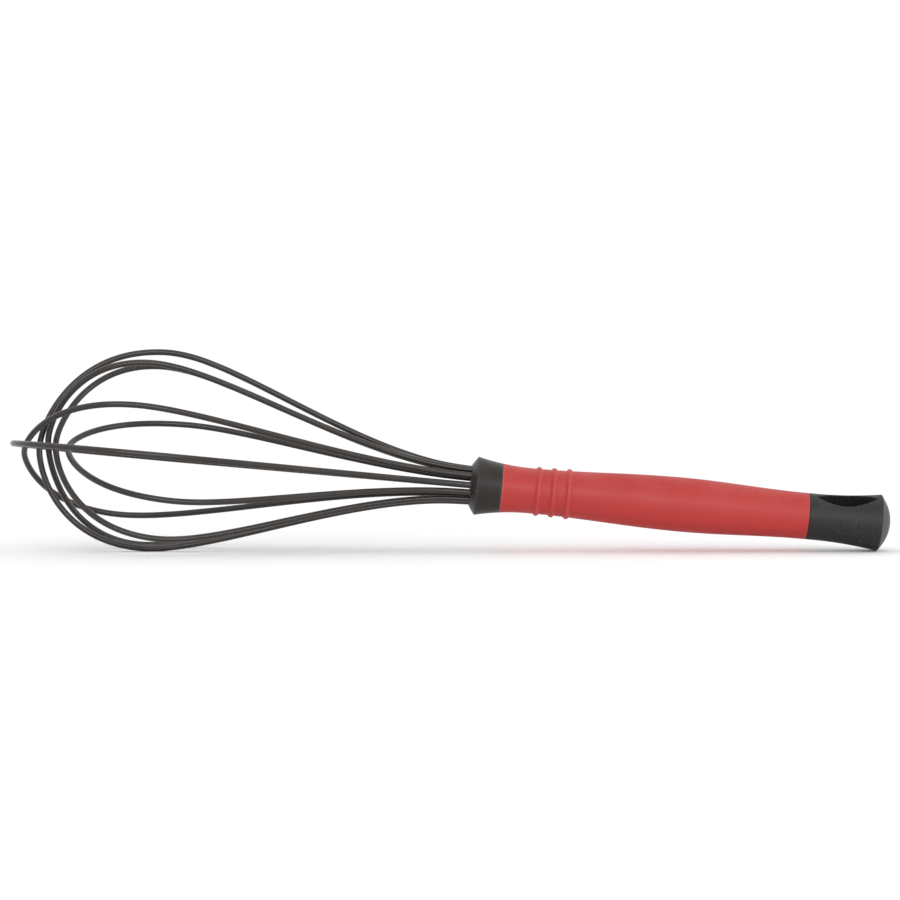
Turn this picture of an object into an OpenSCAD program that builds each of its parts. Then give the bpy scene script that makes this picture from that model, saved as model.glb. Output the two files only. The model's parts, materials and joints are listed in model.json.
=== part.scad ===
// Balloon whisk: six coated wire loops potted into a collar, on a soft-grip handle.
// The pieces are drawn along the whisk's own axis, with x running from the front of the balloon
// to the end of the handle. lay_down() then rests the whole whisk on the table.

/* [Balloon] */
// Half width that a relaxed loop would have
loop_half = 35; // [28:0.5:42]
// Distance from the front of the whisk to the widest place of a relaxed loop
belly_x = 50; // [42:0.5:60]
// How far the table pushes in the two wires that the balloon rests on
rest_flex = 2.7; // [0:0.1:4]
// Length of the balloon, from its front to the face of the collar
balloon_l = 161.6; // [140:0.1:195]
// Diameter of the coated wire
wire_d = 2.15; // [1.6:0.05:2.2]
// Diameter of the steel wire inside the coating
steel_d = 1.2; // [0.8:0.05:1.4]
// Radius of the circle on which the wires enter the collar
pitch_r = 5.8; // [5.6:0.1:7.2]

/* [Loop set, from the outermost tip inwards] */
// Roll of each loop about the axis, 0 standing upright and positive leaning to +Y
loop_roll = [94.5, -50, 5, -19.5, 35, 68.5]; // [-90:0.5:105]
// Setback of each tip behind the outermost one
tip_setback = [0, 3.8, 9.2, 12.1, 14.7, 19.2]; // [0:0.1:24]
// Half width that the first side of each loop has sprung out (+) or in (-)
first_spring = [0, -6.2, 1.6, 0, 2.3, -6.5]; // [-8:0.1:4]
// The same for the second side, except on a side that rests on the table
second_spring = [0, 2, 0, 0, -1.9, -0.7]; // [-8:0.1:4]
// Shift of the widest place along the axis on the first side
first_shift = [0, -5.5, 3, -2, 0.5, 11.5]; // [-15:0.5:15]
// The same for the second side
second_shift = [0, -11, -1.5, -2.5, 5.5, 11]; // [-15:0.5:15]
// How far each tip has sprung off the axis, towards the second side
tip_sway = [0, 4.8, 0.2, -2.8, -2.3, -0.8]; // [-5:0.1:5]
// Loops whose second side rests on the table, counted from 0
resting_loops = [2, 3]; // [0:1:5]

/* [Curve of a loop] */
// Fullness of the curve at the tip, as a share of the half width
tip_full = 0.26; // [0.15:0.01:0.5]
// Fullness in front of the widest place, as a share of the way to the tip
front_full = 0.76; // [0.4:0.01:0.9]
// Fullness behind the widest place, as a share of the way to the collar
back_full = 0.22; // [0.1:0.01:0.5]
// Fullness where the wires draw in to the collar, as a share of the same way
neck_full = 0.35; // [0.2:0.01:0.6]

/* [Collar] */
// Lip left around the wires on the collar's small front face
collar_lip = 0.25; // [0.2:0.05:2]
// How far the rim, the collar's widest place, stands out past the front face
collar_rim_step = 3.1; // [2:0.1:4]
// Distance from the front face back to the rim
collar_rim_back = 2.1; // [1.8:0.1:4.5]
// Length of the collar that shows
collar_l = 10.9; // [10:0.1:15]
// Thickness of the front wall that the wires pass through
collar_wall = 3; // [2:0.1:3.5]
// Radius of the round on the rim
collar_round = 0.4; // [0.1:0.05:0.8]

/* [Wire ends] */
// Length of coated wire inside the holder, behind the collar's front wall
coat_in_holder = 1.5; // [1:0.1:2.5]
// Thickness of the wire holder
holder_l = 4.2; // [3.5:0.1:5.2]
// Length of bare steel that stands in the potting
steel_in_potting = 6; // [4:0.1:6.5]
// Length of the potting
potting_l = 7.5; // [7:0.1:10]
// Resin left outside the steel wires
potting_skin = 0.1; // [0.05:0.05:0.5]
// Clearance around a wire in its hole
wire_gap = 0.05; // [0.03:0.01:0.1]

/* [Handle] */
// Wall of the core's front socket, which holds the potting and plugs into the collar
socket_wall = 0.65; // [0.5:0.05:0.9]
// How far the socket's full radius runs past the potting
socket_past = 1.8; // [1:0.1:3]
// Thickness of the web that closes the socket
web_l = 2; // [1.5:0.1:3]
// How much slimmer the core is behind its socket
core_step = 0.8; // [0.2:0.05:1]
// Wall of the core
core_wall = 1.8; // [1.2:0.05:2.4]
// Cover of the grip over the socket's radius, at the slimmest place
neck_cover = 0.75; // [0.6:0.05:1.5]
// Distance from the collar's back edge to the slimmest place
neck_back = 10.5; // [9:0.5:14]
// How much fuller the grip is at its fullest place than at its slimmest
swell = 1.6; // [0.5:0.05:3]
// Distance from the collar's back edge to the fullest place
swell_back = 63.5; // [50:0.5:76]
// Length of the grip
grip_l = 108; // [90:1:130]
// Thickness of the grip where it meets the end cap
joint_cover = 1.75; // [1.2:0.05:3]

/* [Ribs on the grip] */
// Number of raised rings
rib_count = 3; // [1:1:4]
// Distance from the collar's back edge to the first ring
rib_back = 12.8; // [12:0.1:20]
// Distance from ring to ring
rib_pitch = 5.3; // [4:0.1:7]
// Height of a ring
rib_h = 0.7; // [0.3:0.05:1]
// Width of a ring
rib_w = 2.2; // [1.5:0.1:3]

/* [End cap] */
// Length of the cap from the grip to its rim
cap_l = 25.8; // [24:0.1:32]
// How far the cap widens from the grip to its rim
cap_widening = 1.85; // [0.8:0.05:3]
// Radius of the round on the rim
cap_round = 0.6; // [0.3:0.05:0.9]
// Height of the domed end
dome_h = 3.6; // [2:0.1:5]
// Distance from the grip to where the cap starts to widen
cap_flare_back = 2.5; // [0:0.1:5]
// Length of the spigot that plugs into the core
spigot_l = 12; // [9:0.1:16]
// Wall of the hollow spigot
spigot_wall = 2; // [1.2:0.1:2.6]
// Thickness left in front of the spigot's hollow
spigot_floor = 1; // [0.5:0.1:2]
// Width of the hanging slot
slot_w = 7.4; // [6:0.1:9.5]
// Distance from the grip to the slot's nearer point
slot_back = 2.6; // [2.4:0.1:4]
// Distance from the slot's farther point to the rim
slot_rim_gap = 1.9; // [1.5:0.1:4]
// Lean of the slot from upright, towards -Y, in degrees
slot_roll = 26.5; // [0:0.5:45]

/* [Fits] */
// Clearance between moulded pieces that plug together
mould_gap = 0.05; // [0.03:0.01:0.1]
// Height of the snap beads
bead_h = 0.25; // [0.15:0.01:0.3]

/* [Hidden] */

$fn = 96;
WIRE_SIDES = 8;     // sides of a swept wire
FRONT_STEPS = 12;   // rings from a tip to the widest place
BACK_STEPS = 10;    // rings from the widest place to the collar
REST_STEPS = 60;    // places on each curve when looking for the lowest one
OUTLINE_STEP = 1.5; // spacing of the points on the handle's outline
RIB_STEPS = 8;      // points across one rib
ROUND_STEPS = 6;    // points on a rounded corner
DOME_STEPS = 12;    // points on the dome
PAST = 1;           // how far a cut runs past the face that it opens

// Radii, built up outwards from the circle of wires
wire_r = wire_d / 2;
steel_r = steel_d / 2;
wire_hole_r = wire_r + wire_gap;
steel_hole_r = steel_r + wire_gap;
collar_face_r = pitch_r + wire_hole_r + collar_lip;
collar_rim_r = collar_face_r + collar_rim_step;
potting_r = pitch_r + steel_hole_r + potting_skin;
socket_r = potting_r + socket_wall;
core_r = socket_r - core_step;
core_bore_r = core_r - core_wall;
neck_r = socket_r + neck_cover;
swell_r = neck_r + swell;
joint_r = core_r + joint_cover;
spigot_r = core_bore_r - mould_gap;
cap_rim_r = joint_r + cap_widening;

// Places along the whisk's own axis
front_tip = wire_r;
collar_x = balloon_l;
rim_x = collar_x + collar_rim_back;
holder_x = collar_x + collar_wall;
coat_end = holder_x + coat_in_holder;
potting_x = holder_x + holder_l;
steel_end = potting_x + steel_in_potting;
web_x = potting_x + potting_l;
socket_end = web_x + socket_past;
grip_x = collar_x + collar_l;
neck_x = grip_x + neck_back;
swell_x = grip_x + swell_back;
cap_x = grip_x + grip_l;
cap_flare_x = cap_x + cap_flare_back;
cap_rim_x = cap_x + cap_l;
whisk_l = cap_rim_x + dome_h;
slot_l = cap_l - slot_back - slot_rim_gap;

// Radii of the arcs that flare out to the two rims
collar_flare = flare_radius(neck_x - rim_x, collar_rim_r - neck_r);
cap_flare = flare_radius(cap_rim_x - cap_flare_x, cap_rim_r - joint_r);
dome_r = flare_radius(cap_rim_r - cap_round, dome_h);
bead_w = 4 * bead_h;
socket_bead_x = (potting_x + grip_x) / 2;
spigot_bead_x = cap_x - spigot_l / 2;

// ---- Curves ----

function flare_radius(run, rise) = (run * run + rise * rise) / (2 * rise);
function flare(run, radius) = radius - sqrt(radius * radius - run * run);
function ease(a, b, t) = a + (b - a) * (1 - cos(180 * t)) / 2;
function unit(v) = v / norm(v);
function flip(p) = [p[0], -p[1]];
function reversed(list) = [for (i = [len(list) - 1:-1:0]) list[i]];

function bezier(p, t) =
    pow(1 - t, 3) * p[0] + 3 * t * pow(1 - t, 2) * p[1] + 3 * t * t * (1 - t) * p[2] + pow(t, 3) * p[3];
function bezier_way(p, t) =
    unit(pow(1 - t, 2) * (p[1] - p[0]) + 2 * t * (1 - t) * (p[2] - p[1]) + t * t * (p[3] - p[2]));

// The two curves that make one side of a loop, as [x, distance from the axis].
// Sway is where the tip stands on that side's own distance.
function front_curve(tip, sway, belly, half) =
    [[tip, sway], [tip, sway + tip_full * (half - sway)],
     [belly - front_full * (belly - tip), half], [belly, half]];
function back_curve(belly, half) =
    [[belly, half], [belly + back_full * (collar_x - belly), half],
     [collar_x - neck_full * (collar_x - belly), pitch_r], [collar_x, pitch_r]];

// Stations along one side, from just behind its tip to the end of its straight tail:
// each is [place, direction of travel]
function side_route(tip, sway, belly, half, tail_end) = concat(
    [for (i = [1:FRONT_STEPS])
        let (c = front_curve(tip, sway, belly, half), t = i / FRONT_STEPS) [bezier(c, t), bezier_way(c, t)]],
    [for (i = [1:BACK_STEPS])
        let (c = back_curve(belly, half), t = i / BACK_STEPS) [bezier(c, t), bezier_way(c, t)]],
    [[[tail_end, pitch_r], [1, 0]]]);

function rests(i) = len(search(i, resting_loops)) > 0;
function tip_of(i) = front_tip + tip_setback[i];
function first_half(i) = loop_half + first_spring[i];
function second_half(i) = rests(i) ? (loop_half - rest_flex) / cos(loop_roll[i]) : loop_half + second_spring[i];

// The whole loop in its own plane, from the end of its first tail round to the second
function loop_route(i, tail_end) =
    let (a = side_route(tip_of(i), -tip_sway[i], belly_x + first_shift[i], first_half(i), tail_end),
         b = side_route(tip_of(i), tip_sway[i], belly_x + second_shift[i], second_half(i), tail_end))
    concat([for (s = reversed(a)) [s[0], -s[1]]],
           [[[tip_of(i), -tip_sway[i]], [0, -1]]],
           [for (s = b) [flip(s[0]), flip(s[1])]]);

// ---- Resting on the table ----

// Closely spaced places along one side of a loop
function side_places(tip, sway, belly, half) = concat(
    [for (k = [0:REST_STEPS]) bezier(front_curve(tip, sway, belly, half), k / REST_STEPS)],
    [for (k = [1:REST_STEPS]) bezier(back_curve(belly, half), k / REST_STEPS)]);

// A place in a loop's plane, turned to the loop's roll about the whisk's axis
function rolled(p, roll) = [p[0], p[1] * sin(roll), p[1] * cos(roll)];
wire_places = [for (i = [0:len(loop_roll) - 1])
    each concat(
        [for (p = side_places(tip_of(i), -tip_sway[i], belly_x + first_shift[i], first_half(i)))
            rolled(p, loop_roll[i])],
        [for (p = side_places(tip_of(i), tip_sway[i], belly_x + second_shift[i], second_half(i)))
            rolled(flip(p), loop_roll[i])])];

// Slope at which a wire and the rounded rim of the cap touch the same table
rim_low = cap_rim_r - cap_round;
function table_slope(p) =
    let (run = cap_rim_x - cap_round - p[0], rise = p[2] + rim_low)
    asin((wire_r - cap_round) / norm([run, rise])) - atan2(rise, run);
lie = max([for (p = wire_places) table_slope(p)]);
lift = (cap_rim_x - cap_round) * sin(lie) + rim_low * cos(lie) + cap_round;

// The origin is the middle of the footprint of the whisk's bounding box
x_low = min([for (p = wire_places) p[0] * cos(lie) + p[2] * sin(lie)]) - wire_r;
x_high = (whisk_l - dome_r) * cos(lie) + dome_r;
y_low = min([for (p = wire_places) p[1]]) - wire_r;
y_high = max([for (p = wire_places) p[1]]) + wire_r;

module lay_down() {
    translate([-(x_low + x_high) / 2, -(y_low + y_high) / 2, lift])
        rotate([0, lie, 0]) children();
}

// ---- Building blocks ----

// A shape drawn as [radius, place along the axis], turned about the whisk's axis
module turned() {
    rotate([0, 90, 0]) rotate_extrude() children();
}

// Repeats its children at every place where a wire enters the collar
module at_wires() {
    for (roll = loop_roll)
        for (half_turn = [0, 180])
            rotate([-(roll + half_turn), 0, 0]) translate([0, 0, pitch_r]) children();
}

module wire_hole(radius, from, to) {
    translate([from, 0, 0]) rotate([0, 90, 0]) cylinder(r = radius, h = to - from, $fn = 24);
}

// One ring of a swept wire around a station, in the loop's plane
function ring(station, radius) =
    let (way = station[1], normal = [-way[1], way[0]])
    [for (k = [0:WIRE_SIDES - 1])
        let (a = 360 * k / WIRE_SIDES, p = station[0] + radius * cos(a) * normal)
        [p[0], p[1], radius * sin(a)]];

function tube_points(route, radius) = [for (s = route) each ring(s, radius)];
function tube_sides(rings, first) =
    [for (i = [0:rings - 2]) for (k = [0:WIRE_SIDES - 1])
        let (n = (k + 1) % WIRE_SIDES, a = first + i * WIRE_SIDES, b = a + WIRE_SIDES)
        each [[a + k, a + n, b + n], [a + k, b + n, b + k]]];
function turned_over(faces) = [for (f = faces) [f[0], f[2], f[1]]];

// A solid wire along a route
module wire(route, radius) {
    rings = len(route);
    last = (rings - 1) * WIRE_SIDES;
    ends = [[for (k = [WIRE_SIDES - 1:-1:0]) k], [for (k = [0:WIRE_SIDES - 1]) last + k]];
    polyhedron(tube_points(route, radius), concat(tube_sides(rings, 0), ends));
}

// A hollow coating along a route, open at both ends
module coating(route, radius, bore) {
    rings = len(route);
    inner = rings * WIRE_SIDES;
    last = inner - WIRE_SIDES;
    near_end = [for (k = [0:WIRE_SIDES - 1])
        let (n = (k + 1) % WIRE_SIDES)
        each [[k, inner + k, inner + n], [k, inner + n, n]]];
    far_end = [for (k = [0:WIRE_SIDES - 1])
        let (n = (k + 1) % WIRE_SIDES, a = last, b = last + inner)
        each [[a + k, a + n, b + n], [a + k, b + n, b + k]]];
    polyhedron(
        concat(tube_points(route, radius), tube_points(route, bore)),
        concat(tube_sides(rings, 0), turned_over(tube_sides(rings, inner)), near_end, far_end));
}

// Points of the round that replaces the corner b between a and c
function corner(a, b, c, radius) =
    let (u = unit(a - b), v = unit(c - b),
         half = acos(u * v) / 2,
         centre = b + unit(u + v) * radius / sin(half),
         start = b + u * radius / tan(half), end = b + v * radius / tan(half),
         from = atan2(start[1] - centre[1], start[0] - centre[0]),
         raw = atan2(end[1] - centre[1], end[0] - centre[0]) - from,
         sweep = raw > 180 ? raw - 360 : raw < -180 ? raw + 360 : raw)
    [for (k = [0:ROUND_STEPS])
        let (angle = from + sweep * k / ROUND_STEPS)
        centre + radius * [cos(angle), sin(angle)]];

// Outer radius of the handle, from the collar's rim to the cap's rim
function handle_r(x) =
    x < neck_x ? neck_r + flare(neck_x - x, collar_flare)
    : x < swell_x ? ease(neck_r, swell_r, (x - neck_x) / (swell_x - neck_x))
    : x < cap_x ? ease(swell_r, joint_r, (x - swell_x) / (cap_x - swell_x))
    : x < cap_flare_x ? joint_r
    : joint_r + flare(x - cap_flare_x, cap_flare);

function rib_x(i) = grip_x + rib_back + i * rib_pitch;
function rib_rise(x) =
    max([for (i = [0:rib_count - 1])
        abs(x - rib_x(i)) < rib_w / 2 ? rib_h * cos(180 * (x - rib_x(i)) / rib_w) : 0]);
function outline(from, to) =
    let (steps = ceil((to - from) / OUTLINE_STEP))
    [for (i = [0:steps]) let (x = from + (to - from) * i / steps) [handle_r(x), x]];
function ribbed_outline() =
    [for (i = [0:rib_count - 1]) for (k = [0:RIB_STEPS])
        let (x = rib_x(i) + rib_w * (k / RIB_STEPS - 0.5))
        [handle_r(x) + rib_rise(x), x]];

// A snap bead on a shaft, as a low triangle around it
module bead_outline(radius, x, grow) {
    polygon([[radius - bead_h, x - bead_w / 2 - grow], [radius + bead_h + grow, x],
             [radius - bead_h, x + bead_w / 2 + grow]]);
}

module band(r_in, r_out, from, to) {
    polygon([[r_in, from], [r_out, from], [r_out, to], [r_in, to]]);
}

// ---- Wires ----

module in_loop_plane(i) {
    lay_down() rotate([90 - loop_roll[i], 0, 0]) children();
}

module wire_coat(i) {
    color([0.13, 0.12, 0.12]) in_loop_plane(i) coating(loop_route(i, coat_end), wire_r, steel_r);
}

module steel_wire(i) {
    color("silver") in_loop_plane(i) wire(loop_route(i, steel_end), steel_r);
}

// ---- Wire ends ----

// Hard plastic disc that sets the wires on their circle
module wire_holder() {
    color("dimgray") lay_down() difference() {
        turned() band(0, socket_r, holder_x, potting_x);
        at_wires() wire_hole(wire_hole_r, holder_x - PAST, coat_end + wire_gap);
        at_wires() wire_hole(steel_hole_r, holder_x - PAST, potting_x + PAST);
    }
}

// Resin that locks the bare wire ends in the handle and seals it
module potting() {
    color("darkkhaki") lay_down() difference() {
        turned() band(0, potting_r, potting_x, web_x);
        at_wires() wire_hole(steel_hole_r, potting_x - PAST, steel_end + wire_gap);
    }
}

// ---- Collar ----

module collar_outline() {
    face = [collar_face_r, collar_x];
    rim = [collar_rim_r, rim_x];
    taper_from = rim_x + 2 * collar_round;
    polygon(concat(
        [[0, collar_x], face],
        corner(face, rim, [handle_r(taper_from), taper_from], collar_round),
        outline(taper_from, grip_x),
        [[0, grip_x]]));
}

module collar() {
    color([0.2, 0.19, 0.185]) lay_down() difference() {
        turned() difference() {
            collar_outline();
            band(0, socket_r + mould_gap, holder_x, grip_x + PAST);
            bead_outline(socket_r, socket_bead_x, mould_gap);
        }
        at_wires() wire_hole(wire_hole_r, collar_x - PAST, holder_x + PAST);
    }
}

// ---- Handle ----

module handle_core() {
    color([0.16, 0.16, 0.16]) lay_down() turned() difference() {
        union() {
            band(0, socket_r, potting_x, socket_end);
            band(0, core_r, socket_end, cap_x);
            bead_outline(socket_r, socket_bead_x, 0);
        }
        band(0, potting_r, potting_x - PAST, web_x);
        band(0, core_bore_r, web_x + web_l, cap_x + PAST);
        bead_outline(core_bore_r, spigot_bead_x, mould_gap);
    }
}

module grip_sleeve() {
    before_ribs = outline(grip_x, rib_x(0) - rib_w / 2 - OUTLINE_STEP / 2);
    behind_ribs = outline(rib_x(rib_count - 1) + rib_w / 2 + OUTLINE_STEP / 2, cap_x);
    color([0.78, 0.32, 0.30]) lay_down() turned() polygon(concat(
        [[socket_r, grip_x]], before_ribs, ribbed_outline(), behind_ribs,
        [[core_r, cap_x], [core_r, socket_end], [socket_r, socket_end]]));
}

// ---- End cap ----

module cap_outline() {
    rim = [cap_rim_r, cap_rim_x];
    dome_edge = [cap_rim_r - cap_round, cap_rim_x];
    dome_half = asin(dome_edge[0] / dome_r);
    polygon(concat(
        [[0, cap_x]],
        outline(cap_x, cap_rim_x - 2 * cap_round),
        corner([handle_r(cap_rim_x - 2 * cap_round), cap_rim_x - 2 * cap_round], rim, dome_edge, cap_round / 2),
        [for (k = [0:DOME_STEPS])
            let (a = dome_half * (1 - k / DOME_STEPS))
            [dome_r * sin(a), whisk_l - dome_r + dome_r * cos(a)]]));
}

// Pointed oval between two arcs, right through the cap for a hook
module hanging_slot() {
    arc_r = flare_radius(slot_l / 2, slot_w / 2);
    reach = 2 * cap_rim_r;
    rotate([slot_roll, 0, 0])
        translate([cap_x + slot_back + slot_l / 2, 0, -reach]) linear_extrude(2 * reach)
        intersection() {
            translate([0, arc_r - slot_w / 2]) circle(r = arc_r);
            translate([0, slot_w / 2 - arc_r]) circle(r = arc_r);
        }
}

module end_cap() {
    color([0.19, 0.185, 0.18]) lay_down() difference() {
        turned() difference() {
            union() {
                cap_outline();
                band(0, spigot_r, cap_x - spigot_l, cap_x);
                bead_outline(spigot_r, spigot_bead_x, 0);
            }
            band(0, spigot_r - spigot_wall, cap_x - spigot_l - PAST, cap_x - spigot_floor);
        }
        hanging_slot();
    }
}

wire_coat(0);  // wire_coat_1
wire_coat(1);  // wire_coat_2
wire_coat(2);  // wire_coat_3
wire_coat(3);  // wire_coat_4
wire_coat(4);  // wire_coat_5
wire_coat(5);  // wire_coat_6
steel_wire(0);  // steel_wire_1
steel_wire(1);  // steel_wire_2
steel_wire(2);  // steel_wire_3
steel_wire(3);  // steel_wire_4
steel_wire(4);  // steel_wire_5
steel_wire(5);  // steel_wire_6
wire_holder();
potting();
collar();
handle_core();
grip_sleeve();
end_cap();
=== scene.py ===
# %% [markdown]
# # A coated balloon whisk, laid on a white table
# The whisk has six wire loops, a collar, a soft grip and an end cap. Its structure comes ready
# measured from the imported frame: where each piece sits, how thick it is and which way the whisk
# lies. This script makes the pieces that the eye meets as clean, dense meshes around that frame,
# and gives every piece its finish.

# %% Load the frame
import json
import math
import bmesh
import bpy
from mathutils import Matrix, Vector


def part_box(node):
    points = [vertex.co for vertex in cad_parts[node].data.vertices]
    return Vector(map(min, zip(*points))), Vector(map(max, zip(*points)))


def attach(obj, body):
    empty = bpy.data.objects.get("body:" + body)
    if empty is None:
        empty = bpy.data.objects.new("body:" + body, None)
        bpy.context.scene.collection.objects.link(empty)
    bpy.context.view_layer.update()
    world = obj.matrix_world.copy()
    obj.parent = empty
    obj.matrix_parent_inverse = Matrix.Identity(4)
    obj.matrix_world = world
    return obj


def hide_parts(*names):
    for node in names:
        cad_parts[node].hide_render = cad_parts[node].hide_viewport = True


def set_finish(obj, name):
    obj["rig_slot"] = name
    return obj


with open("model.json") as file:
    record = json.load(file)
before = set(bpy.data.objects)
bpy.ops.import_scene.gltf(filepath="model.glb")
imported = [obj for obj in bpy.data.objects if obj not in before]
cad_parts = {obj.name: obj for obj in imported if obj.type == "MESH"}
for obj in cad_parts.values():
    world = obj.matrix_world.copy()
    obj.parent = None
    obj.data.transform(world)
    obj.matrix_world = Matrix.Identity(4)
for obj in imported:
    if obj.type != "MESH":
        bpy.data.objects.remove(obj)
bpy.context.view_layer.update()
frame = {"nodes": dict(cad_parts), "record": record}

BODY = "root"
MM = 0.001
print("nodes in the frame:", len(frame["nodes"]))

# %% [markdown]
# ## Reading a node
# A node's mesh arrives as loose triangles. To measure it, a copy is merged into one skin and
# thrown away afterwards, so the node itself stays as it came.

# %% Merge a copy of a node
MERGE = 0.0005 * MM


def merged_copy(node):
    """A bmesh of the node with its shared corners joined."""
    bm = bmesh.new()
    bm.from_mesh(frame["nodes"][node].data)
    bmesh.ops.remove_doubles(bm, verts=bm.verts, dist=MERGE)
    bm.verts.ensure_lookup_table()
    return bm


def corners(node):
    """The places of a node's corners."""
    bm = merged_copy(node)
    places = [v.co.copy() for v in bm.verts]
    bm.free()
    return places


def mean(places):
    return sum(places, Vector()) / len(places)


# %% [markdown]
# ## The whisk's own axis
# The whisk doesn't lie level: the balloon rests at one end and the cap's rim at the other. All
# round pieces are easier to make about their own axis, so we find that axis first. The resin plug
# is a plain cylinder, so the middle of its box is on the axis, and so is the middle of the
# handle's rear face. In the whisk's own axes X runs along it, from the balloon to the cap.

# %% Find the axis
FACE_DEPTH = 0.02 * MM
AXIS_ROUNDS = 3


def box_middle(node):
    low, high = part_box(node)
    return (low + high) / 2


def rear_face_middle(node, way):
    """The middle of the corners that lie farthest along the way."""
    places = corners(node)
    farthest = max(p.dot(way) for p in places)
    return mean([p for p in places if p.dot(way) > farthest - FACE_DEPTH])


start = box_middle("potting")
along = (start - box_middle("wire_holder")).normalized()
for _ in range(AXIS_ROUNDS):
    along = (rear_face_middle("handle_core", along) - start).normalized()
side = Vector((0, 0, 1)).cross(along).normalized()
upright = along.cross(side)
TO_TABLE = Matrix.Translation(start) @ Matrix((along, side, upright)).transposed().to_4x4()
TO_WHISK = TO_TABLE.inverted()
print("the axis slopes down by %.2f degrees" % math.degrees(math.asin(-along.z)))


def own_corners(node):
    """A node's corners in the whisk's own axes."""
    return [TO_WHISK @ p for p in corners(node)]


def span(node):
    """Where a node starts and ends along the axis."""
    reach = [p.x for p in own_corners(node)]
    return min(reach), max(reach)


collar_front = span("collar")[0]
grip_front, grip_rear = span("grip_sleeve")
whisk_end = span("end_cap")[1]
print("collar, grip and cap from %.1f to %.1f mm" % (collar_front / MM, whisk_end / MM))

# %% [markdown]
# ## Smooth lines through measured places
# The frame gives places on the real curves, some way apart. A chain of short cubic curves passes
# through all of them without corners. Each takes its direction from its two neighbours, weighed
# by how near they are, which keeps it calm where close and wide spacings meet.

# %% Curves through places


def headings(places):
    """The direction of the curve at each place, per unit of length."""
    gaps = [(b - a).length for a, b in zip(places, places[1:])]
    slopes = [(b - a) / g for a, b, g in zip(places, places[1:], gaps)]
    middle = [
        (slopes[i] * gaps[i + 1] + slopes[i + 1] * gaps[i]) / (gaps[i] + gaps[i + 1])
        for i in range(len(slopes) - 1)
    ]
    return [slopes[0]] + middle + [slopes[-1]]


def through(places, step):
    """A smooth line through the places, with a point at most every step."""
    ways = headings(places)
    line = [places[0]]
    for a, b, from_way, to_way in zip(places, places[1:], ways, ways[1:]):
        gap = (b - a).length
        parts = max(1, math.ceil(gap / step))
        for k in range(1, parts + 1):
            t = k / parts
            bend = (from_way * (1 - t) - to_way * t) * gap + (b - a) * (2 * t - 1)
            line.append(a.lerp(b, t) + bend * t * (1 - t))
    return line


# %% [markdown]
# ## Turning a bmesh into a finished piece
# Every piece ends the same way: it is made in the whisk's own axes, laid on the table, and its
# object stays at the origin, unturned. Then it rides on the body and takes its slot's name.

# %% Finish a piece
CREASE = math.radians(38)


def finish_piece(bm, name, slot, stands_for, own_axes=True):
    """Makes the bmesh an object that stands for a node of the frame."""
    if own_axes:
        bmesh.ops.transform(bm, matrix=TO_TABLE, verts=bm.verts)
    mesh = bpy.data.meshes.new(name)
    bm.to_mesh(mesh)
    bm.free()
    mesh.shade_smooth()
    mesh.set_sharp_from_angle(angle=CREASE)
    piece = bpy.data.objects.new(name, mesh)
    bpy.context.scene.collection.objects.link(piece)
    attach(piece, BODY)
    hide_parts(stands_for)
    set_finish(piece, slot)
    print(name, len(mesh.polygons), "faces")
    return piece


# %% [markdown]
# ## The coated wires
# Each loop is one length of spring steel, bent round and covered with a dark plastic, so it shows
# as a round tube of even thickness. A node's tube is a plain one with eight sides. We walk along
# it ring by ring to find the middle line, then sweep a finer circle along that line. A loop lies
# in one plane, so its rings never twist.

# %% Walk along a wire


def wire_rings(node):
    """The corners of a node's tube, ring by ring, from one tail to the other."""
    bm = merged_copy(node)
    bm.verts.index_update()
    tail = max(bm.verts, key=lambda v: v.co.dot(along))
    both_ends = [v for v in bm.verts if (tail.co - v.co).dot(along) < FACE_DEPTH]
    both_ends.sort(key=lambda v: (v.co - tail.co).length)
    ring = both_ends[: len(both_ends) // 2]
    rings = []
    seen = set()
    while ring:
        rings.append([v.co.copy() for v in ring])
        seen.update(ring)
        ahead = {e.other_vert(v) for v in ring for e in v.link_edges} - seen
        ring = sorted(ahead, key=lambda v: v.index)
    bm.free()
    return rings


def ring_radius(ring):
    middle = mean(ring)
    return max((p - middle).length for p in ring)


WIRE_NODES = sorted(n for n in frame["nodes"] if n.startswith("wire_coat_"))
wires = {node: wire_rings(node) for node in WIRE_NODES}
wire_radius = ring_radius(wires[WIRE_NODES[0]][0])
print("six loops of %.2f mm wire" % (2 * wire_radius / MM))

# %% [markdown]
# ## Sweeping the wire
# The sweep starts from one circle. For each point of the middle line the rim is extruded, and the
# new ring is moved to that point and turned square to the line. Every corner also keeps a note of
# where it lies on the wire, as a place round the circle and a length along it. The finish uses
# that note for the faint lines that the coating picks up as it is drawn over the steel.

# %% Sweep the six wires
WIRE_STEP = 0.9 * MM
WIRE_SIDES = 20
ON_WIRE = "on_wire"


def swept(line, radius, square_to):
    """A closed tube along a flat line, whose plane is square to the given way."""
    bm = bmesh.new()
    note = bm.verts.layers.float_vector.new(ON_WIRE)
    ring = bmesh.ops.create_circle(bm, radius=radius, segments=WIRE_SIDES)["verts"]
    edges = bm.edges[:]
    for v in ring:
        v[note] = v.co / radius
    seat = Matrix.Identity(4)
    travelled = 0.0
    for i, (place, way) in enumerate(zip(line, headings(line))):
        if i:
            travelled += (place - line[i - 1]).length
            grown = bmesh.ops.extrude_edge_only(bm, edges=edges)["geom"]
            ring = [g for g in grown if isinstance(g, bmesh.types.BMVert)]
            edges = [g for g in grown if isinstance(g, bmesh.types.BMEdge)]
        way.normalize()
        turn = Matrix((square_to.cross(way), square_to, way)).transposed().to_4x4()
        new_seat = Matrix.Translation(place) @ turn
        bmesh.ops.transform(bm, matrix=new_seat @ seat.inverted(), verts=ring)
        seat = new_seat
        for v in ring:
            v[note] = (v[note].x, v[note].y, travelled)
    bmesh.ops.edgeloop_fill(bm, edges=[e for e in bm.edges if e.is_boundary])
    bmesh.ops.recalc_face_normals(bm, faces=bm.faces)
    return bm


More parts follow.
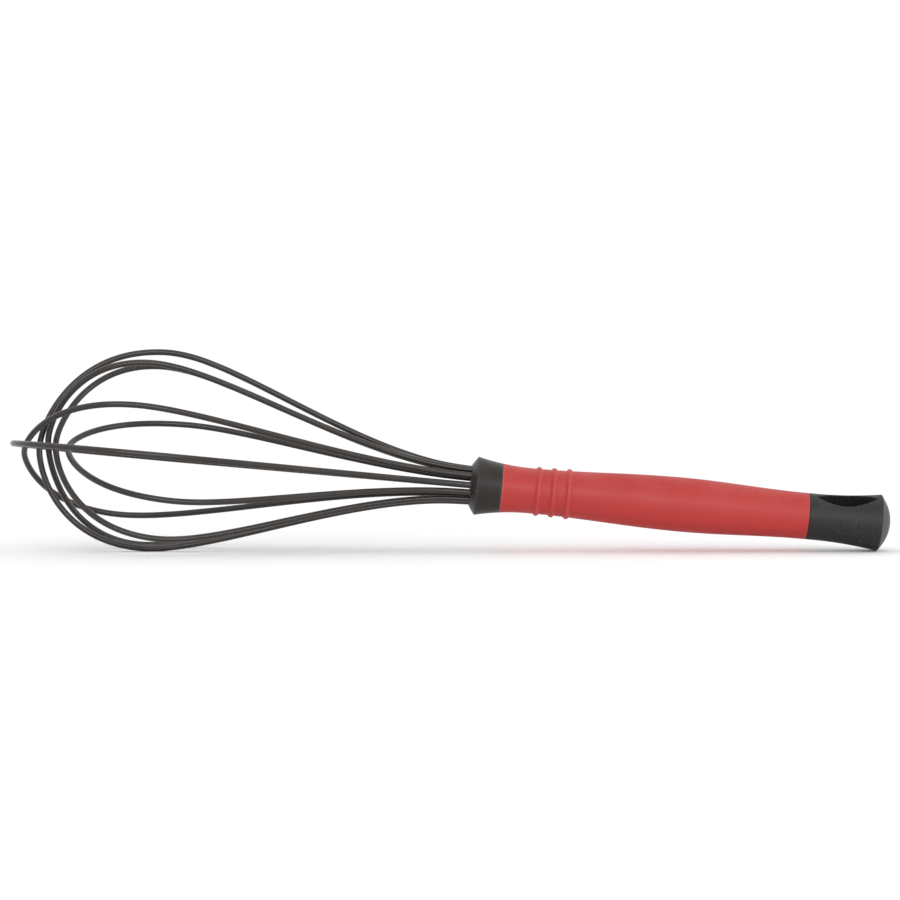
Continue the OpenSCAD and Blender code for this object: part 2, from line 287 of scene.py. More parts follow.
def coated_wire(node):
    middles = [mean(ring) for ring in wires[node]]
    tip = min(middles, key=lambda p: p.dot(along))
    square_to = (middles[0] - tip).cross(middles[-1] - tip).normalized()
    bm = swept(through(middles, WIRE_STEP), wire_radius, square_to)
    name = node.replace("wire_coat", "coated_wire")
    return finish_piece(bm, name, "wire_coating", node, own_axes=False)


coated_wires = [coated_wire(node) for node in WIRE_NODES]

# %% [markdown]
# ## Round pieces from an outline
# The collar, the grip and the end cap are round mouldings. Each is drawn as half an outline, as
# places along the axis and away from it, and spun round once. A corner is rounded on the outline,
# before the spin, because one small arc there becomes an even round all the way round the piece.

# %% Spin an outline
SPIN_STEPS = 160
ROUND_PARTS = 3


def spun(outline, rounds=()):
    """Spins (along, away) places about the axis. Rounds are (corner's number, size) pairs."""
    bm = bmesh.new()
    points = [bm.verts.new((x, 0, r)) for x, r in outline]
    for a, b in zip(points, points[1:]):
        bm.edges.new((a, b))
    for number, size in rounds:
        bmesh.ops.bevel(
            bm, geom=[points[number]], offset=size, offset_type="OFFSET", affect="VERTICES",
            segments=ROUND_PARTS, profile=0.5, material=-1)
    bmesh.ops.spin(
        bm, geom=bm.verts[:] + bm.edges[:], cent=(0, 0, 0), axis=(1, 0, 0),
        angle=math.tau, steps=SPIN_STEPS, use_merge=True)
    bmesh.ops.remove_doubles(bm, verts=bm.verts, dist=MERGE)
    bmesh.ops.recalc_face_normals(bm, faces=bm.faces)
    return bm


# %% Measure an outline
SAME_PLACE = 0.01 * MM


def away(place):
    return math.hypot(place.y, place.z)


def outer_outline(node, beyond, counts=lambda place: True):
    """The (along, away) places of a node's outer skin, from those farther out than beyond."""
    outline = []
    for p in sorted(own_corners(node), key=lambda p: p.x):
        if away(p) < beyond or not counts(p):
            continue
        if outline and p.x - outline[-1][0] < SAME_PLACE:
            outline[-1][1] = max(outline[-1][1], away(p))
        else:
            outline.append([p.x, away(p)])
    return outline


def smoothed(outline, step):
    """The same outline as a smooth line."""
    line = through([Vector((x, r, 0)) for x, r in outline], step)
    return [(p.x, p.y) for p in line]


def inner_radius(node, place):
    """The smallest reach of a node's corners at one place along the axis."""
    return min(away(p) for p in own_corners(node) if abs(p.x - place) < FACE_DEPTH)


# %% [markdown]
# ## The collar
# The collar is a dark moulding that holds the wires apart. Its small front face has a hole for
# each wire, and from there it spreads to a crisp rim and draws in again towards the grip. The
# holes are cut with twelve short rods, joined in one cutter.

# %% Cut one shape from another


def without(bm, cutter):
    """The shape with the cutter's shape taken away."""
    pair = []
    for shape in (bm, cutter):
        mesh = bpy.data.meshes.new("cut")
        shape.to_mesh(mesh)
        shape.free()
        pair.append(bpy.data.objects.new("cut", mesh))
        bpy.context.scene.collection.objects.link(pair[-1])
    cut = pair[0].modifiers.new("cut", "BOOLEAN")
    cut.operation = "DIFFERENCE"
    cut.solver = "EXACT"
    cut.object = pair[1]
    return taken_up(pair)


def taken_up(objects):
    """The first object with its modifiers applied, as a bmesh. The objects are thrown away."""
    ready = objects[0].evaluated_get(bpy.context.evaluated_depsgraph_get())
    bm = bmesh.new()
    bm.from_mesh(ready.to_mesh())
    ready.to_mesh_clear()
    for thing in objects:
        mesh = thing.data
        bpy.data.objects.remove(thing)
        bpy.data.meshes.remove(mesh)
    return bm


# %% Make the collar
HOLE_GAP = 0.08 * MM
HOLE_SIDES = 32
ROD_LENGTH = 3      # in thicknesses of the wall it goes through
LEAST_WALL = 0.5 * MM
FACE_ROUND = 0.25 * MM
RIM_ROUND = 0.3 * MM
JOINT_ROUND = 0.15 * MM

holder_front = span("wire_holder")[0]
socket_radius = max(away(p) for p in own_corners("wire_holder"))


def wire_entries():
    """Where the wires enter the collar, in the whisk's own axes."""
    ends = [TO_WHISK @ mean(rings[k]) for rings in wires.values() for k in (0, -1)]
    return [(p.y, p.z) for p in ends]


def hole_rods():
    bm = bmesh.new()
    length = ROD_LENGTH * (holder_front - collar_front)
    for y, z in wire_entries():
        seat = Matrix.Translation((holder_front, y, z)) @ Matrix.Rotation(math.pi / 2, 4, "Y")
        bmesh.ops.create_cone(
            bm, cap_ends=True, segments=HOLE_SIDES, radius1=wire_radius + HOLE_GAP,
            radius2=wire_radius + HOLE_GAP, depth=length, matrix=seat)
    return bm


def make_collar():
    bore = socket_radius + HOLE_GAP
    outer = outer_outline("collar", bore + LEAST_WALL)
    on_face = [p for p in own_corners("collar") if p.x < collar_front + FACE_DEPTH]
    face = (collar_front, max(away(p) for p in on_face))
    skin = [face] + [tuple(place) for place in outer if place[0] > collar_front + SAME_PLACE]
    inside = [(grip_front, bore), (holder_front, bore), (holder_front, 0)]
    outline = [(collar_front, 0)] + skin + inside
    rim = max(range(1, len(skin) + 1), key=lambda number: outline[number][1])
    bm = spun(outline, [(1, FACE_ROUND), (rim, RIM_ROUND), (len(skin), JOINT_ROUND)])
    bm = without(bm, hole_rods())
    return finish_piece(bm, "collar_moulding", "collar_plastic", "collar")


collar = make_collar()

# %% [markdown]
# ## The soft grip
# The grip is a soft sleeve moulded over the handle's core. It has three raised rings near the
# collar, and the two halves of its mould left a fine raised line along each side. The line is
# made by lifting the corners that lie on the parting plane by a hair.

# %% Make the grip
GRIP_STEP = 0.45 * MM
PARTING_ROLL = math.radians(-37)
PARTING_LIFT = 0.07 * MM
GRIP_END_ROUND = 0.22 * MM
OFF_BORE = 0.3 * MM


def parting_way():
    """The direction of the parting plane across the grip, in the whisk's own axes."""
    return Vector((0, -math.cos(PARTING_ROLL), math.sin(PARTING_ROLL)))


def make_grip():
    front_bore = inner_radius("grip_sleeve", grip_front)
    rear_bore = inner_radius("grip_sleeve", grip_rear)
    step_at = min(p.x for p in own_corners("grip_sleeve") if away(p) < (front_bore + rear_bore) / 2)
    skin = smoothed(outer_outline("grip_sleeve", front_bore + OFF_BORE), GRIP_STEP)
    inside = [(grip_rear, rear_bore), (step_at, rear_bore), (step_at, front_bore)]
    outline = skin + inside + [(grip_front, front_bore), skin[0]]
    bm = spun(outline, [(len(skin) - 1, GRIP_END_ROUND)])
    way = parting_way()
    for v in bm.verts:
        out = Vector((0, v.co.y, v.co.z))
        off_plane = math.asin(min(1, out.cross(way).length / out.length))
        if off_plane < math.pi / SPIN_STEPS and out.length > front_bore + OFF_BORE:
            v.co += out.normalized() * PARTING_LIFT
    return finish_piece(bm, "soft_grip_sleeve", "soft_grip", "grip_sleeve")


grip = make_grip()

# %% [markdown]
# ## The end cap
# The cap plugs into the handle with a spigot, spreads to a thin rim and ends in a low dome. A
# pointed oval slot goes right through it for a hook. The slot's outline is two equal arcs, each
# spun from one point, and filled and extruded as a cutter. Cutting leaves razor edges, which no
# moulding has. A voxel remesh and a few rounds of smoothing melt every edge to the same small
# radius and give an even skin for the fine blasted texture.

# %% Make the slot's cutter
SLOT_LENGTH = 21.3 * MM
SLOT_WIDTH = 7.4 * MM
ARC_PARTS = 28
CUTTER_REACH = 4    # in radii of the cap, so that it comes out on both sides

mount = frame["record"]["mounts"][0]
slot_place = TO_WHISK @ Vector(mount["pos_m"])
slot_way = (TO_WHISK.to_3x3() @ Vector(mount["axis"])).normalized()
slot_way.x = 0
cap_radius = max(away(p) for p in own_corners("end_cap"))


def slot_cutter():
    """A pointed oval bar along the slot's way."""
    bm = bmesh.new()
    half_length = SLOT_LENGTH / 2
    arc_radius = (half_length ** 2 + (SLOT_WIDTH / 2) ** 2) / SLOT_WIDTH
    half_angle = math.asin(half_length / arc_radius)
    for turn in (1, -1):
        start_point = bm.verts.new((-half_length * turn, 0, 0))
        bmesh.ops.spin(
            bm, geom=[start_point], cent=(0, -turn * (arc_radius - SLOT_WIDTH / 2), 0),
            axis=(0, 0, -1), angle=2 * half_angle, steps=ARC_PARTS)
    bmesh.ops.remove_doubles(bm, verts=bm.verts, dist=MERGE)
    floor = bmesh.ops.edgeloop_fill(bm, edges=bm.edges)["faces"]
    bar = bmesh.ops.extrude_face_region(bm, geom=floor)["geom"]
    reach = CUTTER_REACH * cap_radius
    grown = [g for g in bar if isinstance(g, bmesh.types.BMVert)]
    bmesh.ops.translate(bm, vec=(0, 0, reach), verts=grown)
    bmesh.ops.recalc_face_normals(bm, faces=bm.faces)
    across = slot_way.cross(Vector((1, 0, 0)))
    turn = Matrix((Vector((1, 0, 0)), across, slot_way)).transposed().to_4x4()
    centred = Matrix.Translation((0, 0, -reach / 2))
    seat = Matrix.Translation((slot_place.x, 0, 0)) @ turn @ centred
    bmesh.ops.transform(bm, matrix=seat, verts=bm.verts)
    return bm


# %% Make the cap
CAP_VOXEL = 0.22 * MM
MELT_ROUNDS = 5
MELT_SHARE = 0.5
BESIDE = 0.6        # share of the radius within which a corner counts as beside the slot


def beside_slot(place):
    """Whether a corner is well away from the slot, round the axis."""
    return abs(Vector((0, place.y, place.z)).dot(slot_way)) < BESIDE * away(place)


def melted(bm):
    """The shape as one even skin, with its sharp edges softened."""
    mesh = bpy.data.meshes.new("melt")
    bm.to_mesh(mesh)
    bm.free()
    thing = bpy.data.objects.new("melt", mesh)
    bpy.context.scene.collection.objects.link(thing)
    remesh = thing.modifiers.new("melt", "REMESH")
    remesh.mode = "VOXEL"
    remesh.voxel_size = CAP_VOXEL
    bm = taken_up([thing])
    for _ in range(MELT_ROUNDS):
        bmesh.ops.smooth_vert(
            bm, verts=bm.verts, factor=MELT_SHARE,
            use_axis_x=True, use_axis_y=True, use_axis_z=True)
    return bm


def make_cap():
    spigot_start = span("end_cap")[0]
    spigot_radius = max(away(p) for p in own_corners("end_cap") if p.x < spigot_start + FACE_DEPTH)
    skin = outer_outline("end_cap", 0, lambda p: p.x > grip_rear - FACE_DEPTH and beside_slot(p))
    skin = [place for place in skin if place[1] > spigot_radius or place[0] > slot_place.x]
    spigot = [(spigot_start, 0), (spigot_start, spigot_radius), (grip_rear, spigot_radius)]
    bm = spun(spigot + [tuple(place) for place in skin] + [(whisk_end, 0)])
    bm = melted(without(bm, slot_cutter()))
    return finish_piece(bm, "slotted_end_cap", "cap_plastic", "end_cap")


cap = make_cap()

# %% [markdown]
# ## Building shaders in code
# A shader is a tree of small nodes. One helper adds a node and fills its sockets: a socket that
# is given another node's output is linked, and one that is given a number or a colour keeps it.

# %% Add nodes


def add(tree, kind, inputs=None, **settings):
    """Adds a node. Inputs are by name or by number; settings are its other properties."""
    made = tree.nodes.new(kind)
    for setting, value in settings.items():
        setattr(made, setting, value)
    for key, value in (inputs or {}).items():
        if isinstance(value, bpy.types.NodeSocket):
            tree.links.new(value, made.inputs[key])
        else:
            made.inputs[key].default_value = value
    return made


def sums(tree, operation, a, b, clamp=False):
    """One step of arithmetic, as a socket."""
    step = add(tree, "ShaderNodeMath", {0: a, 1: b}, operation=operation, use_clamp=clamp)
    return step.outputs[0]


def between(tree, value, low, high, new_low, new_high):
    """A value's range from low to high, spread over new_low to new_high."""
    fit = {"Value": value, "From Min": low, "From Max": high, "To Min": new_low, "To Max": new_high}
    return add(tree, "ShaderNodeMapRange", fit).outputs["Result"]


def blend(tree, mask, one, other):
    """One colour where the mask is 0, the other where it is 1."""
    mix = add(tree, "ShaderNodeMix", data_type="RGBA")
    for socket, value in ((mix.inputs[0], mask), (mix.inputs[6], one), (mix.inputs[7], other)):
        if isinstance(value, bpy.types.NodeSocket):
            tree.links.new(value, socket)
        else:
            socket.default_value = value
    return mix.outputs[2]


def noise(tree, vector, scale, detail=2.0, rough=0.5):
    fit = {"Vector": vector, "Scale": scale, "Detail": detail, "Roughness": rough}
    return add(tree, "ShaderNodeTexNoise", fit).outputs["Fac"]


# %% [markdown]
# ## Effects that several finishes share
# Three effects come back in many finishes, so each is a node group that is built once: the skin
# that a mould leaves on plastic, the paling of edges that stand out, which is partly rubbing by
# hands and drawers and partly a painted highlight along edges, and the thin film of flour and dust
# that settles on faces that look up. Each finish sets their sizes.

# %% Start a group


def new_group(name, inputs, outputs):
    """An empty group with its sockets. Returns the tree, its input node and its output node."""
    tree = bpy.data.node_groups.new(name, "ShaderNodeTree")
    for label, kind, value in inputs:
        socket = tree.interface.new_socket(label, in_out="INPUT", socket_type="NodeSocket" + kind)
        if value is not None:
            socket.default_value = value
    for label in outputs:
        tree.interface.new_socket(label, in_out="OUTPUT", socket_type="NodeSocketFloat")
    return tree, add(tree, "NodeGroupInput"), add(tree, "NodeGroupOutput")


def placed(tree, group, inputs):
    """The group, placed in a material with its own values."""
    made = add(tree, "ShaderNodeGroup", node_tree=group)
    for label, value in inputs.items():
        if isinstance(value, bpy.types.NodeSocket):
            tree.links.new(value, made.inputs[label])
        else:
            made.inputs[label].default_value = value
    return made


# %% Skin of a mould


def mould_skin_group():
    """Fine grain, and slow patches where the mould's polish or the melt differed."""
    tree, given, out = new_group(
        "mould_skin",
        [("Vector", "Vector", None), ("Grain Scale", "Float", 2500.0),
         ("Patch Scale", "Float", 60.0)],
        ["Grain", "Patch", "Height"])
    grain = noise(tree, given.outputs["Vector"], given.outputs["Grain Scale"], 3.0, 0.6)
    patch = noise(tree, given.outputs["Vector"], given.outputs["Patch Scale"], 3.0, 0.55)
    grain = between(tree, grain, 0.3, 0.7, 0.0, 1.0)
    patch = between(tree, patch, 0.3, 0.7, 0.0, 1.0)
    tree.links.new(grain, out.inputs["Grain"])
    tree.links.new(patch, out.inputs["Patch"])
    height = sums(tree, "ADD", grain, sums(tree, "MULTIPLY", patch, 0.5))
    tree.links.new(height, out.inputs["Height"])
    return tree


mould_skin = mould_skin_group()

# %% Pale edges: rubbing and painted highlight


def edge_wear_and_sheen_group():
    """A mask of the edges that stand out, broken up as real rubbing is. It pales edges for rubbing
    and for a painted highlight.
    """
    tree, given, out = new_group(
        "edge_wear_and_sheen",
        [("Vector", "Vector", None), ("From", "Float", 0.52), ("To", "Float", 0.6),
         ("Break Scale", "Float", 900.0)],
        ["Mask"])
    sharp = add(tree, "ShaderNodeNewGeometry").outputs["Pointiness"]
    edge = between(tree, sharp, given.outputs["From"], given.outputs["To"], 0.0, 1.0)
    broken = noise(tree, given.outputs["Vector"], given.outputs["Break Scale"], 2.0, 0.6)
    broken = between(tree, broken, 0.3, 0.6, 0.25, 1.0)
    tree.links.new(sums(tree, "MULTIPLY", edge, broken), out.inputs["Mask"])
    return tree


edge_wear_and_sheen = edge_wear_and_sheen_group()

# %% Settled dust


def settled_dust_group():
    """A mask of faint, patchy dust on faces that look up."""
    tree, given, out = new_group(
        "settled_dust",
        [("Vector", "Vector", None), ("Speck Scale", "Float", 1800.0), ("Amount", "Float", 0.5)],
        ["Mask"])
    normal = add(tree, "ShaderNodeNewGeometry").outputs["Normal"]
    height = add(tree, "ShaderNodeSeparateXYZ", {"Vector": normal}).outputs["Z"]
    looks_up = between(tree, height, 0.1, 1.0, 0.0, 1.0)
    film = between(tree, noise(tree, given.outputs["Vector"], 90.0, 4.0, 0.6), 0.4, 0.7, 0.0, 0.6)
    specks = noise(tree, given.outputs["Vector"], given.outputs["Speck Scale"], 1.0)
    specks = between(tree, specks, 0.62, 0.72, 0.0, 1.0)
    mask = sums(tree, "MULTIPLY", sums(tree, "ADD", film, specks, clamp=True), looks_up)
    tree.links.new(sums(tree, "MULTIPLY", mask, given.outputs["Amount"]), out.inputs["Mask"])
    return tree


settled_dust = settled_dust_group()

# %% [markdown]
# ## Materials
# Each finish starts the same way: a material with one Principled shader, and the object's own
# coordinates. The numbers that don't change over the surface sit on the shader's own sockets.

# %% Start a finish
DUST_COLOUR = (0.42, 0.40, 0.37, 1)
WEAR_AND_SHEEN_SPAN = 0.06


def new_finish(name, specular=0.5):
    """A material's tree, its shader and the object's coordinates."""
    material = bpy.data.materials.new(name)
    material.use_nodes = True
    tree = material.node_tree
    tree.nodes.clear()
    shader = add(tree, "ShaderNodeBsdfPrincipled", {"Specular IOR Level": specular})
    add(tree, "ShaderNodeOutputMaterial", {"Surface": shader.outputs[0]})
    here = add(tree, "ShaderNodeTexCoord").outputs["Object"]
    return material, tree, shader, here


def own_axes(tree, here):
    """The object's coordinates turned to the whisk's own axes, so that X runs along it."""
    turned = {"Vector": here, "Location": TO_WHISK.translation, "Rotation": TO_WHISK.to_euler()}
    return add(tree, "ShaderNodeMapping", turned).outputs[0]


def relief(tree, shader, height, depth, strength=1.0):
    """Height in metres of depth, as a bump on the shader."""
    bump = add(tree, "ShaderNodeBump", {"Strength": strength, "Distance": depth, "Height": height})
    tree.links.new(bump.outputs["Normal"], shader.inputs["Normal"])


def plain_plastic(
        name, colour, pale, rough, grain_scale, depth, wear_and_sheen=0.5, wear_and_sheen_from=0.52, dust=0.1,
        specular=0.5):
    """A moulded plastic: patches of a deeper tone, pale edges from rubbing and painted highlight,
    dust and fine relief.
    """
    material, tree, shader, here = new_finish(name, specular)
    skin = placed(tree, mould_skin, {"Vector": here, "Grain Scale": grain_scale})
    edge = placed(
        tree, edge_wear_and_sheen, {"Vector": here, "From": wear_and_sheen_from, "To": wear_and_sheen_from + WEAR_AND_SHEEN_SPAN})
    dusty = placed(tree, settled_dust, {"Vector": here, "Amount": dust})
    deep = [c * 0.8 for c in colour[:3]] + [1]
    tint = blend(tree, skin.outputs["Patch"], deep, colour)
    # Pale edges: rubbing, and on the collar's rim a painted highlight.
    tint = blend(tree, sums(tree, "MULTIPLY", edge.outputs["Mask"], wear_and_sheen), tint, pale)
    tint = blend(tree, dusty.outputs["Mask"], tint, DUST_COLOUR)
    tree.links.new(tint, shader.inputs["Base Color"])
    shine = between(tree, skin.outputs["Patch"], 0.0, 1.0, rough - 0.05, rough + 0.05)
    tree.links.new(
        sums(tree, "ADD", shine, sums(tree, "MULTIPLY", dusty.outputs["Mask"], 0.3)),
        shader.inputs["Roughness"])
    relief(tree, shader, skin.outputs["Height"], depth)
    return material


# %% [markdown]
# ### The coating on the wires
# The coating is a dark satin plastic. It was drawn over the steel, so faint lines run along it.
# They are noise that is squeezed along the wire: the circle's part of each corner's note is
# spread out, and the length is pressed together.

# %% Make the wire's coating
LINES_AROUND = 6.0
LINES_ALONG = 45.0
WIRE_DEEP = (0.020, 0.0160, 0.0140, 1)
WIRE_PALE = (0.030, 0.0245, 0.0215, 1)


def wire_coating():
    material, tree, shader, here = new_finish("wire_coating", 0.42)
    on_wire = add(tree, "ShaderNodeAttribute", attribute_name=ON_WIRE).outputs["Vector"]
    squeezed = add(
        tree, "ShaderNodeMapping",
        {"Vector": on_wire, "Scale": (LINES_AROUND, LINES_AROUND, LINES_ALONG)}).outputs[0]
    lines = noise(tree, squeezed, 1.0, 3.0, 0.6)
    skin = placed(tree, mould_skin, {"Vector": here, "Grain Scale": 3500.0, "Patch Scale": 45.0})
    dusty = placed(tree, settled_dust, {"Vector": here, "Amount": 0.12})
    tint = blend(tree, skin.outputs["Patch"], WIRE_DEEP, WIRE_PALE)
    tint = blend(tree, dusty.outputs["Mask"], tint, DUST_COLOUR)
    tree.links.new(tint, shader.inputs["Base Color"])
    shine = between(tree, skin.outputs["Patch"], 0.0, 1.0, 0.20, 0.28)
    shine = sums(tree, "ADD", shine, sums(tree, "MULTIPLY", lines, 0.06))
    tree.links.new(shine, shader.inputs["Roughness"])
    height = sums(tree, "ADD", lines, sums(tree, "MULTIPLY", skin.outputs["Grain"], 0.25))
    relief(tree, shader, height, 0.004 * MM, 0.6)
    return material


# %% [markdown]
# ### The red grip
# The grip is silicone rubber: a warm red that scatters light a little, with a soft satin skin.
# Below the parting line the red is a shade deeper, as painted shade on the lower side. The ring
# tops are paler, partly from rubbing and partly as a painted highlight along each ring.

# %% Make the grip's rubber
GRIP_RED = (0.445, 0.030, 0.026, 1)
# Deeper red: random patches, and painted shade below the parting line.
GRIP_DEEP_AND_SHADE = (0.425, 0.029, 0.026, 1)
# Paler ring tops: partly rubbing, partly a painted highlight.
GRIP_WEAR_AND_SHEEN = (0.62, 0.12, 0.10, 1)
GRIP_DUST = (0.75, 0.45, 0.42, 1)
PARTING_EDGE = 0.2 * MM


def above_parting(tree, own):
    """1 above the parting plane and 0 below it."""
    parts = add(tree, "ShaderNodeSeparateXYZ", {"Vector": own})
    square = parting_way().cross(Vector((1, 0, 0)))
    height = sums(
        tree, "ADD", sums(tree, "MULTIPLY", parts.outputs["Y"], square.y),
        sums(tree, "MULTIPLY", parts.outputs["Z"], square.z))
    return between(tree, height, -PARTING_EDGE, PARTING_EDGE, 0.0, 1.0)


def soft_grip():
    material, tree, shader, here = new_finish("soft_grip", 0.38)
    shader.inputs["Subsurface Weight"].default_value = 0.12
    shader.inputs["Subsurface Radius"].default_value = (1.0, 0.25, 0.2)
    shader.inputs["Subsurface Scale"].default_value = 0.8 * MM
    skin = placed(tree, mould_skin, {"Vector": here, "Grain Scale": 2800.0, "Patch Scale": 55.0})
    edge = placed(tree, edge_wear_and_sheen, {"Vector": here, "From": 0.508, "To": 0.56})
    dusty = placed(tree, settled_dust, {"Vector": here, "Amount": 0.10})
    upper = above_parting(tree, own_axes(tree, here))
    # Painted shade: a deeper red below the parting line.
    tint = blend(tree, upper, GRIP_DEEP_AND_SHADE, GRIP_RED)
    tint = blend(tree, sums(tree, "MULTIPLY", skin.outputs["Patch"], 0.35), tint, GRIP_DEEP_AND_SHADE)
    # Pale ring tops: partly rubbing, partly a painted highlight along each ring.
    tint = blend(tree, sums(tree, "MULTIPLY", edge.outputs["Mask"], 0.5), tint, GRIP_WEAR_AND_SHEEN)
    tint = blend(tree, dusty.outputs["Mask"], tint, GRIP_DUST)
    tree.links.new(tint, shader.inputs["Base Color"])
    shine = between(tree, skin.outputs["Patch"], 0.0, 1.0, 0.44, 0.56)
    tree.links.new(
        sums(tree, "ADD", shine, sums(tree, "MULTIPLY", skin.outputs["Grain"], 0.06)),
        shader.inputs["Roughness"])
    relief(tree, shader, skin.outputs["Height"], 0.012 * MM)
    return material


# %% [markdown]
# ### The blasted end cap
# The cap's mould was blasted with fine beads, so its skin is covered with tiny pits that catch the
# light as a speckle. The dome at its end was left smoother, with less speckle, and its colour is
# painted paler: a painted reflection of the bright room on its grazing face.

# %% Make the cap's plastic
PIT_SCALE = 2000.0
PIT_DEEP = (0.003, 0.0022, 0.0020, 1)
PIT_PALE = (0.027, 0.0248, 0.0243, 1)
# Paler dome colour: a painted reflection of the bright room.
DOME_PAINTED_REFLECTION = (0.060, 0.056, 0.052, 1)
CAP_WORN = (0.12, 0.11, 0.105, 1)
DOME_BLEND = 0.2 * MM


def cap_plastic():
    material, tree, shader, here = new_finish("cap_plastic", 0.34)
    skin = placed(
        tree, mould_skin, {"Vector": here, "Grain Scale": PIT_SCALE, "Patch Scale": 120.0})
    edge = placed(tree, edge_wear_and_sheen, {"Vector": here, "From": 0.54, "To": 0.62})
    dusty = placed(tree, settled_dust, {"Vector": here, "Amount": 0.10})
    pits = add(tree, "ShaderNodeTexVoronoi", {"Vector": here, "Scale": PIT_SCALE * 0.6})
    along_it = add(tree, "ShaderNodeSeparateXYZ", {"Vector": own_axes(tree, here)}).outputs["X"]
    rim_at = cap_rim_place()
    on_dome = between(tree, along_it, rim_at, rim_at + DOME_BLEND, 0.0, 1.0)
    tint = blend(tree, skin.outputs["Grain"], PIT_DEEP, PIT_PALE)
    # Painted reflection: the dome is painted paler.
    tint = blend(tree, on_dome, tint, DOME_PAINTED_REFLECTION)
    tint = blend(tree, sums(tree, "MULTIPLY", edge.outputs["Mask"], 0.5), tint, CAP_WORN)
    tint = blend(tree, dusty.outputs["Mask"], tint, DUST_COLOUR)
    tree.links.new(tint, shader.inputs["Base Color"])
    shine = between(tree, skin.outputs["Grain"], 0.0, 1.0, 0.42, 0.62)
    tree.links.new(shine, shader.inputs["Roughness"])
    pitted = sums(tree, "MULTIPLY", pits.outputs["Distance"], 1.2)
    height = sums(tree, "ADD", pitted, skin.outputs["Height"])
    depth_share = between(tree, on_dome, 0.0, 1.0, 1.0, 0.3)
    relief(tree, shader, sums(tree, "MULTIPLY", height, depth_share), 0.035 * MM)
    return material


def cap_rim_place():
    """Where the cap is widest, along the axis."""
    return max(own_corners("end_cap"), key=away).x


# %% [markdown]
# ### The metal and the hidden pieces
# Spring steel shows fine draw lines, and the resin plug is clear and a little uneven. The other
# hidden mouldings share the plain plastic with their own shades.

# %% Make the hidden finishes
STEEL_DEEP = (0.50, 0.51, 0.53, 1)
STEEL_PALE = (0.60, 0.60, 0.61, 1)
RESIN_DEEP = (0.38, 0.30, 0.15, 1)
RESIN_PALE = (0.50, 0.42, 0.24, 1)


def spring_steel():
    material, tree, shader, here = new_finish("spring_steel")
    shader.inputs["Metallic"].default_value = 1.0
    drawn = add(tree, "ShaderNodeMapping", {"Vector": here, "Scale": (0.05, 1, 1)}).outputs[0]
    lines = noise(tree, drawn, 9000.0, 2.0)
    skin = placed(tree, mould_skin, {"Vector": here, "Grain Scale": 6000.0})
    tint = blend(tree, skin.outputs["Patch"], STEEL_DEEP, STEEL_PALE)
    tree.links.new(tint, shader.inputs["Base Color"])
    tree.links.new(between(tree, lines, 0.3, 0.7, 0.22, 0.4), shader.inputs["Roughness"])
    relief(tree, shader, lines, 0.003 * MM)
    return material


def potting_resin():
    material, tree, shader, here = new_finish("potting_resin")
    skin = placed(tree, mould_skin, {"Vector": here, "Grain Scale": 900.0, "Patch Scale": 250.0})
    tint = blend(tree, skin.outputs["Patch"], RESIN_DEEP, RESIN_PALE)
    tree.links.new(tint, shader.inputs["Base Color"])
    shine = between(tree, skin.outputs["Grain"], 0.0, 1.0, 0.12, 0.3)
    tree.links.new(shine, shader.inputs["Roughness"])
    relief(tree, shader, skin.outputs["Height"], 0.02 * MM)
    return material


def collar_plastic():
    # The strong pale edge here is a painted highlight along the rim, on top of some rubbing.
    return plain_plastic(
        "collar_plastic", (0.017, 0.0130, 0.0115, 1), (0.15, 0.138, 0.13, 1), 0.42, 3000.0,
        0.010 * MM, wear_and_sheen=0.9, wear_and_sheen_from=0.505, specular=0.34)


def holder_plastic():
    return plain_plastic(
        "holder_plastic", (0.11, 0.11, 0.11, 1), (0.25, 0.25, 0.25, 1), 0.5, 2000.0, 0.015 * MM)


def core_plastic():
    return plain_plastic(
        "core_plastic", (0.05, 0.05, 0.05, 1), (0.14, 0.14, 0.14, 1), 0.5, 2000.0, 0.015 * MM)


# %% [markdown]
# ## Dressing the pieces
# The record says which slot each node takes its finish from. The pieces that stand for a node take
# the same one, and the hidden nodes are dressed as carefully as the ones that show.

# %% Give every piece its finish
finishes = {
    "wire_coating": wire_coating(), "soft_grip": soft_grip(), "cap_plastic": cap_plastic(),
    "collar_plastic": collar_plastic(), "spring_steel": spring_steel(),
    "potting_resin": potting_resin(), "holder_plastic": holder_plastic(),
    "core_plastic": core_plastic(),
}
slot_of = {part["node"]: part["material_slot"] for part in frame["record"]["subparts"]}


def dress(piece, slot):
    piece.data.materials.clear()
    piece.data.materials.append(finishes[slot])


for piece in coated_wires + [collar, grip, cap]:
    dress(piece, piece["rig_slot"])
for node, piece in frame["nodes"].items():
    dress(piece, slot_of[node])
print("finishes:", ", ".join(sorted(finishes)))

# %% [markdown]
# ## Table, light and camera
# The whisk lies on a white sweep in a white room, as in a catalogue. The room's even light leaves
# a low, soft shadow. A small box low on the handle's side models the rings and the dome, and a
# long strip in front draws a thin highlight along the wires. The strip only adds shine, so that
# it doesn't wash the shadow out.

# %% Lay the table
TABLE_HALF = 6.0
TABLE_GRID = 24
TABLE_SHADE = (0.955, 0.955, 0.955, 1)
TABLE_PALE = (0.97, 0.97, 0.97, 1)


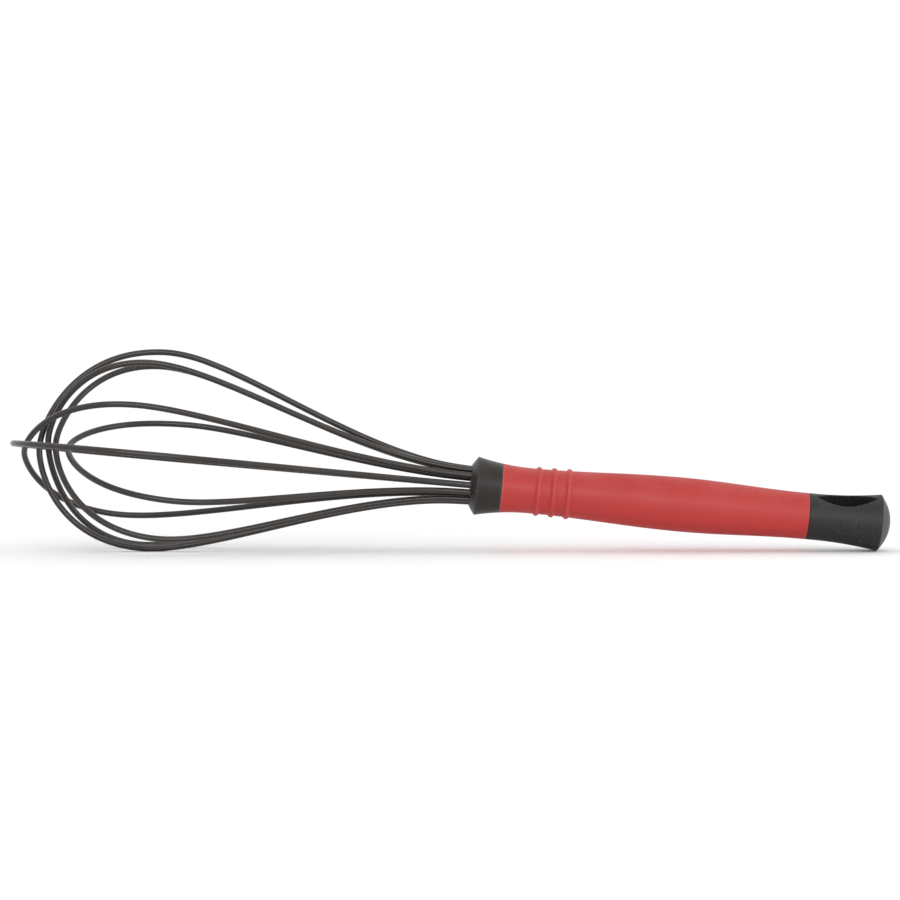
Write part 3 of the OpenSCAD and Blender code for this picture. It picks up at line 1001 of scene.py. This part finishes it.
def make_table():
    bm = bmesh.new()
    bmesh.ops.create_grid(bm, x_segments=TABLE_GRID, y_segments=TABLE_GRID, size=TABLE_HALF)
    mesh = bpy.data.meshes.new("table")
    bm.to_mesh(mesh)
    bm.free()
    table = bpy.data.objects.new("table", mesh)
    bpy.context.scene.collection.objects.link(table)
    material, tree, shader, here = new_finish("white_sweep", 0.0)
    tint = blend(tree, noise(tree, here, 30.0), TABLE_SHADE, TABLE_PALE)
    tree.links.new(tint, shader.inputs["Base Color"])
    shader.inputs["Roughness"].default_value = 1.0
    mesh.materials.append(material)
    return table


make_table()

# %% Light the room
ROOM_LIGHT = 1.055
SIDE_BOX = dict(place=(1.0, -0.7, 0.2), size=(0.35, 0.35), power=3.4)
FRONT_STRIP = dict(place=(-0.1, -1.5, 0.55), size=(1.2, 0.24), power=9.0, only_shine=True)


def area_light(name, place, size, power, only_shine=False):
    light = bpy.data.lights.new(name, "AREA")
    light.shape = "RECTANGLE"
    light.size, light.size_y = size
    light.energy = power
    lamp = bpy.data.objects.new(name, light)
    lamp.location = place
    lamp.visible_diffuse = not only_shine
    lamp.rotation_euler = (Vector((0, 0, 0)) - lamp.location).to_track_quat("-Z", "Y").to_euler()
    bpy.context.scene.collection.objects.link(lamp)


area_light("side_box", **SIDE_BOX)
area_light("front_strip", **FRONT_STRIP)
world = bpy.data.worlds.new("white_room")
world.use_nodes = True
world.node_tree.nodes["Background"].inputs["Color"].default_value = (1, 1, 1, 1)
world.node_tree.nodes["Background"].inputs["Strength"].default_value = ROOM_LIGHT
bpy.context.scene.world = world
bpy.context.scene.view_settings.view_transform = "Standard"

# %% Place the camera
AZIMUTH = math.radians(1.29)
ELEVATION = math.radians(3.5)
ROLL = math.radians(0.11)
DISTANCE = 1.403
LENS = 160.1
SENSOR = 36.0
FARTHEST = 50.0
AIM = Vector((-0.00053, 0, 0.03547))

ahead = Vector((
    math.sin(AZIMUTH) * math.cos(ELEVATION),
    math.cos(AZIMUTH) * math.cos(ELEVATION),
    -math.sin(ELEVATION)))
camera_data = bpy.data.cameras.new("camera")
camera_data.lens = LENS
camera_data.sensor_width = SENSOR
camera_data.clip_end = FARTHEST
camera = bpy.data.objects.new("camera", camera_data)
bpy.context.scene.collection.objects.link(camera)
facing = ahead.to_track_quat("-Z", "Y").to_matrix().to_4x4() @ Matrix.Rotation(ROLL, 4, "Z")
camera.matrix_world = Matrix.Translation(AIM - DISTANCE * ahead) @ facing
bpy.context.scene.camera = camera
